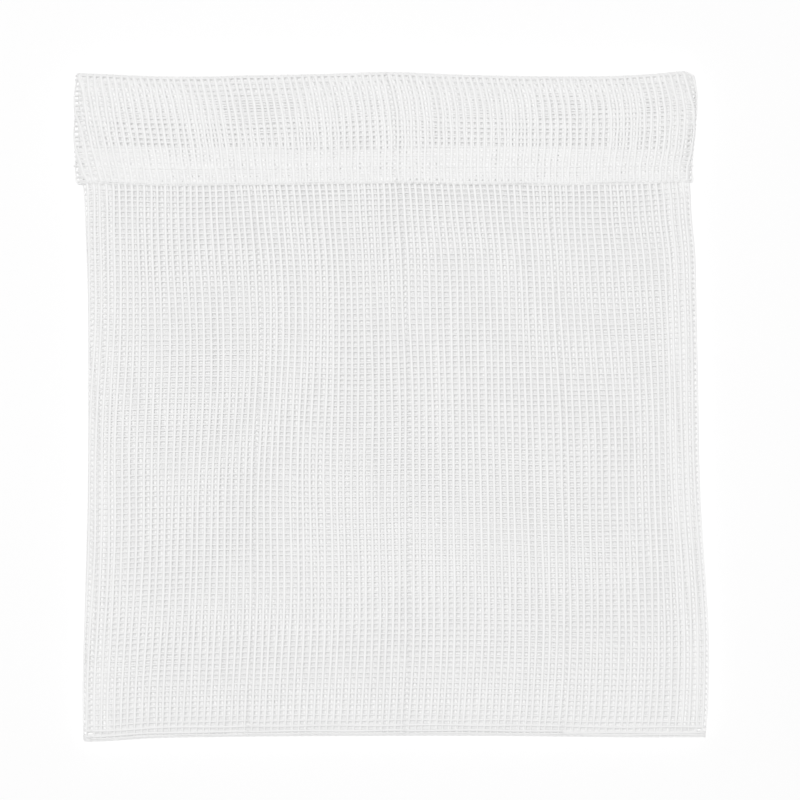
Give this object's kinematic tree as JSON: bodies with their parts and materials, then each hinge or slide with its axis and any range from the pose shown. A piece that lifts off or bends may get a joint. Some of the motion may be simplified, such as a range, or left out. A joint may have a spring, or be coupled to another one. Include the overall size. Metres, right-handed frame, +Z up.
{
  "type": "mesh produce bag",
  "caption": "Flat, open-topped pouch of white open mesh with a deep stitched cuff turned outwards at its mouth, shown empty and lying on its back.",
  "frame": {"origin": "on the surface the bag lies on, under the middle of its outline", "axes": "+Z up through the bag's thickness, +Y from the bottom fold towards the open mouth, +X across the bag"},
  "size_m": [0.2048, 0.216, 0.0088],
  "materials": {
    "mesh_cloth": "white open-mesh knit, slightly lustrous yarn",
    "hem_thread": "white twisted sewing thread",
    "seam_thread": "white overlock thread"
  },
  "bodies": {
    "back_wall": {"back_panel": "mesh_cloth", "back_cuff": "mesh_cloth", "back_turn_under": "mesh_cloth", "back_hem_fold": "mesh_cloth", "back_mouth_fold": "mesh_cloth", "back_needle_thread": "hem_thread", "back_bobbin_thread": "hem_thread", "bottom_fold": "mesh_cloth", "left_side_fold": "mesh_cloth", "right_side_fold": "mesh_cloth", "left_cuff_wrap": "mesh_cloth", "right_cuff_wrap": "mesh_cloth", "left_seam_allowance": "mesh_cloth", "right_seam_allowance": "mesh_cloth", "left_seam_thread": "seam_thread", "right_seam_thread": "seam_thread"},
    "front_wall": {"front_panel": "mesh_cloth", "front_cuff": "mesh_cloth", "front_turn_under": "mesh_cloth", "front_hem_fold": "mesh_cloth", "front_mouth_fold": "mesh_cloth", "front_needle_thread": "hem_thread", "front_bobbin_thread": "hem_thread"}
  },
  "joints": [
    {"name": "mouth_opening", "type": "hinge", "parent": "back_wall", "child": "front_wall", "pos_m": [0, -0.1043, 0.0037], "axis": [1, 0, 0], "range_deg": [0, 8]}
  ]
}
